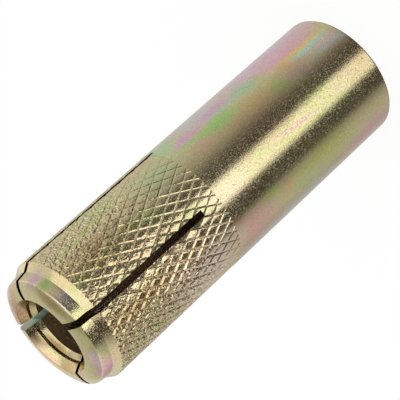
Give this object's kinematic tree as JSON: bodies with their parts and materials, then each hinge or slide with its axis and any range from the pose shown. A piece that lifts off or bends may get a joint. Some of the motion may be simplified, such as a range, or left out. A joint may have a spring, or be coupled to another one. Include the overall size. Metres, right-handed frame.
{
  "type": "drop-in anchor",
  "caption": "Split steel sleeve with a knurled, slotted end, a threaded hole at the other end and a tapered expander plug inside, for setting a bolt in concrete.",
  "frame": {"origin": "centre of the threaded end's face, on the sleeve's axis", "axes": "+Z along the sleeve from the threaded end to the split end, X along the saw cut through the axis"},
  "size_m": [0.016, 0.016, 0.05],
  "materials": {
    "yellow_zinc": "zinc plated steel with a yellow chromate film that shimmers green and pink",
    "plain_steel": "bare turned steel, lightly oiled"
  },
  "bodies": {
    "root": {"anchor_sleeve": "yellow_zinc", "expander_plug": "plain_steel"}
  },
  "joints": []
}
